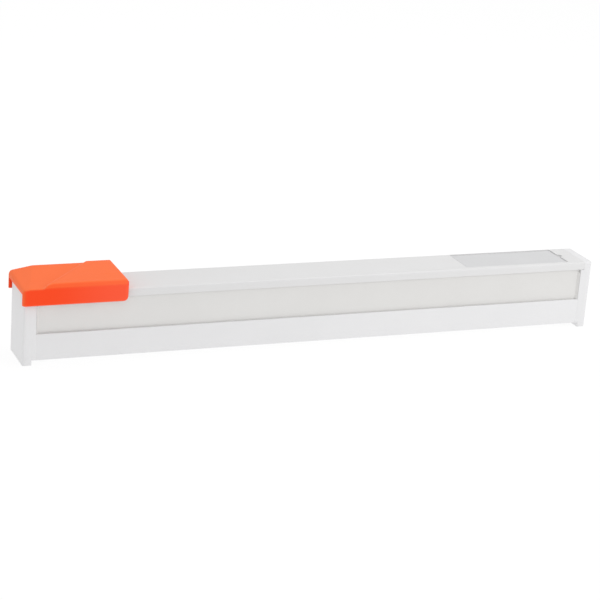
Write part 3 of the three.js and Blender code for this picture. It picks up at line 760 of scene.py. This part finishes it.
# %% Take out the low facet with a wedge, and slice the ramp to the open end
FACET_DEPTH = (3.2 * MM, 0.7 * MM)
CREASE_IN = (9.4 * MM, 43.2 * MM)
facet_side = cover_side + MM
facet_front = Vector((cover_x0 + CREASE_IN[0], -facet_side, cover_top - FACET_DEPTH[0]))
facet_back = Vector((cover_x0 + CREASE_IN[1], facet_side, cover_top - FACET_DEPTH[1]))
along_crease = facet_back - facet_front
across_facet = Vector((0, 2 * facet_side, facet_back.z - facet_front.z))
wedge = block("facet_wedge", (cover_x0 - REACH, -facet_side - MM, cover_foot),
              (cover_x1, facet_side + MM, cover_top + REACH))
slice_off(wedge, facet_front, Vector((1, 0, 0)).cross(across_facet), keep_outer=True)
slice_off(wedge, facet_front, along_crease.cross(Vector((1, 0, 1))))
combine(cover, wedge, "DIFFERENCE")

ramp_front = Vector((cover_x0, -facet_side, cover_top - RAMP_START[0]))
across_ramp = Vector((0, 2 * facet_side, RAMP_START[0] - RAMP_START[1]))
slice_off(cover, ramp_front, Vector((RAMP_LENGTH, 0, RAMP_RISE)).cross(across_ramp))
report(cover)

# %% [markdown]
# ## Soft corners and the hollow
#
# So many small arcs meet at the corners that a Bevel modifier would fold over itself there. A voxel
# remesh lays an even net over the whole block instead, and a few rounds of smoothing then wear every
# corner down by the same half millimetre, as polishing a mould does. The hollow is cut afterwards, so
# the inside keeps its crisp walls.

# %% Soften all outer corners evenly
VOXEL = 0.34 * MM
SMOOTHING_ROUNDS = 8
bake(cover, "REMESH", mode="VOXEL", voxel_size=VOXEL, use_smooth_shade=True)
bake(cover, "SMOOTH", factor=0.5, iterations=SMOOTHING_ROUNDS)
report(cover)

# %% Hollow it out
COVER_WALL = 1.3 * MM
RIM_WALL = 1.9 * MM
RIM_LENGTH = 4 * MM
CLEAR = 0.3 * MM
inside = cover_side - COVER_WALL
inside_end = cover_x1 - COVER_WALL
over_lid = lid_high.z + CLEAR
over_carriage = carriage_high.z + CLEAR


def room(name, x0, x1, half_width, ceiling):
    """A block of the hollow, open below."""
    return block(name, (x0, -half_width, cover_foot - REACH), (x1, half_width, ceiling))


hollow = room("mouth", cover_x0 - REACH, inside_end, cover_side - RIM_WALL, over_lid)
combine(hollow, room("behind_rim", cover_x0 + RIM_LENGTH, inside_end, inside, over_lid), "UNION")
combine(hollow, room("carriage_room", carriage_low.x - CLEAR, inside_end, inside, over_carriage),
        "UNION")
combine(hollow, room("doorway", inside_end - MM, cover_x1 + REACH, inside, over_lid), "UNION")
combine(cover, hollow, "DIFFERENCE")
soften(cover, 32)
declare(cover, "slider", "orange_cover", orange_skin, "slider_cover")

# %% [markdown]
# ## The label plate
#
# A thin grey plate lies in a shallow recess of the lid. It is stamped from sheet, so its corners are
# round and its rim is pressed down a little. A block is rounded at its four corners, its top is inset
# for the rim, and the field inside is raised.

# %% Label plate
plate_low, plate_high = corners_of("label_plate")
PRESSED = 0.08 * MM
LABEL_CORNER = 1.3 * MM
LABEL_RIM = 0.9 * MM
LABEL_SHOULDER = 0.15 * MM
FITTED = Vector((0.18 * MM, 0.18 * MM, 0))
label = block("grey_label_plate", plate_low - FITTED,
              plate_high + FITTED - Vector((0, 0, PRESSED)))
round_edges(label, lambda a, b: abs(a.z - b.z) > 0.1 * MM, LABEL_CORNER)
pick_faces(label, lambda centre, normal: normal.z > 0.9)
bpy.ops.mesh.inset(thickness=LABEL_RIM)
bpy.ops.mesh.extrude_region_move(TRANSFORM_OT_translate={"value": (0, 0, PRESSED)})
bpy.ops.mesh.inset(thickness=LABEL_SHOULDER)
bpy.ops.object.mode_set(mode="OBJECT")
soften(label, 30)
declare(label, "lid", "label", label_foil, "label_plate")

# %% [markdown]
# ## The wound film and its core
#
# A roll of film is hundreds of turns that never line up at the ends, so each end is a stack of fine
# rings that step in and out. A ring of edges is extruded outwards and along, like turning on a lathe,
# and small steps are put into the two end faces. The card core sticks out a little at each end, with
# a soft corner where the cutter left it.

# %% Film roll
roll_low, roll_high = corners_of("film_roll")
core_low, core_high = corners_of("core_tube")
roll_axis = (0, (roll_low.y + roll_high.y) / 2, (roll_low.z + roll_high.z) / 2)
roll_radius = (roll_high.y - roll_low.y) / 2
core_radius = (core_high.y - core_low.y) / 2
FILM_RINGS = 7
RING_STEP = 0.12 * MM
THIRD_RING = 0.6
bore = core_radius + CLEAR
ring_width = (roll_radius - bore) / FILM_RINGS
left_face = []
for ring in range(FILM_RINGS):
    depth = RING_STEP * (ring % 2 + THIRD_RING * (ring % 3))
    left_face += [(roll_low.x + depth, bore + ring * ring_width),
                  (roll_low.x + depth, bore + (ring + 1) * ring_width)]
right_face = [(roll_low.x + roll_high.x - x, r) for x, r in reversed(left_face)]
film_roll = turned("wound_film_roll", left_face + right_face + left_face[:1], roll_axis)
soften(film_roll, 30)
declare(film_roll, "roll", "film", film, "film_roll")

# %% Card core
CORE_WALL = 1.4 * MM
SOFT = 0.25 * MM
hole = core_radius - CORE_WALL
left_end = [(core_low.x, hole), (core_low.x, core_radius - SOFT),
            (core_low.x + SOFT, core_radius)]
right_end = [(core_high.x - SOFT, core_radius), (core_high.x, core_radius - SOFT),
             (core_high.x, hole)]
core = turned("card_core", left_end + right_end + left_end[:1], roll_axis)
soften(core, 30)
declare(core, "roll", "core_card", card, "core_tube")

# %% [markdown]
# ## Screws
#
# The base screws are small countersunk ones with a cross recess. One profile is turned about the
# upright axis, two thin blocks cut the cross, and every screw is made at its own place, because each
# rides with its own body.


# %% Screws with a cross recess
SCREW_CHAMFER = 0.12 * MM
TIP_TAPER = 0.45
CROSS_ARM = 0.62
CROSS_WIDTH = 0.2
CROSS_DEPTH = 0.55


def cross_screw(node, head_radius, head_height, shank_radius):
    """A countersunk screw, head down, that fills a designed screw's box."""
    screw_low, screw_high = corners_of(node)
    middle = (screw_low + screw_high) / 2
    foot, tip = screw_low.z, screw_high.z
    profile = [(foot, head_radius - SCREW_CHAMFER), (foot + SCREW_CHAMFER, head_radius),
               (foot + head_height, shank_radius), (tip - 2 * SCREW_CHAMFER, shank_radius),
               (tip, shank_radius * TIP_TAPER)]
    screw = turned(node + "_finished", profile, (middle.x, middle.y, 0), "Z", 40)
    arm, width = head_radius * CROSS_ARM, head_radius * CROSS_WIDTH
    for half_x, half_y in ((arm, width / 2), (width / 2, arm)):
        cutter = block("cross_arm", (middle.x - half_x, middle.y - half_y, foot - MM),
                       (middle.x + half_x, middle.y + half_y, foot + head_height * CROSS_DEPTH))
        combine(screw, cutter, "DIFFERENCE")
    soften(screw, 30)
    return screw


BASE_SCREW = (2.4 * MM, 1.2 * MM, 1.2 * MM)
COVER_SCREW = (1.5 * MM, 0.8 * MM, 0.75 * MM)
for i in range(4):
    node = f"base_screw_{i + 1}"
    declare(cross_screw(node, *BASE_SCREW), "base", "steel", steel, node)
for i in range(2):
    node = f"cover_screw_{i + 1}"
    declare(cross_screw(node, *COVER_SCREW), "slider", "steel", steel, node)

# %% [markdown]
# ## The hub spring
#
# The spring that pushes the right hub into the core is a coil of round wire with closed ends. The
# Screw modifier sweeps a small circle round and along, and a flat turn at each end closes it. It rides
# on the base.

# %% Hub spring
spring_low, spring_high = corners_of("hub_spring")
spring_axis = (spring_low + spring_high) / 2
WIRE = 0.28 * MM
TURNS = 8
CLOSING_WIRE = 0.96 * WIRE
coil_radius = (spring_high.y - spring_low.y) / 2 - WIRE
coil_length = spring_high.x - spring_low.x - 2 * WIRE
bpy.ops.object.select_all(action="DESELECT")
bpy.ops.mesh.primitive_circle_add(vertices=12, radius=WIRE, location=(coil_radius, 0, 0),
                                  rotation=(math.pi / 2, 0, 0))
spring = named("hub_spring_coil")
bake(spring, "SCREW", axis="Z", angle=2 * math.pi, screw_offset=coil_length / TURNS,
     iterations=TURNS, steps=28, render_steps=28, use_smooth_shade=True)
only(spring)
bpy.context.tool_settings.mesh_select_mode = (False, True, False)
bpy.ops.object.mode_set(mode="EDIT")
bpy.ops.mesh.select_all(action="DESELECT")
bpy.ops.mesh.select_non_manifold()
bpy.ops.mesh.fill()
bpy.ops.mesh.select_all(action="SELECT")
bpy.ops.mesh.normals_make_consistent(inside=False)
bpy.ops.object.mode_set(mode="OBJECT")
rings = [spring]
for height in (0, coil_length):
    bpy.ops.object.select_all(action="DESELECT")
    bpy.ops.mesh.primitive_torus_add(major_radius=coil_radius, minor_radius=CLOSING_WIRE,
                                     major_segments=40, minor_segments=12,
                                     location=(0, 0, height))
    rings.append(named("closing_turn"))
only(spring)
for ring in rings:
    ring.select_set(True)
bpy.ops.object.join()
spring.rotation_euler = (0, math.pi / 2, 0)
spring.location = (spring_low.x + WIRE, spring_axis.y, spring_axis.z)
settle(spring)
soften(spring, 50)
declare(spring, "base", "steel", steel, "hub_spring")
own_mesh(spring)
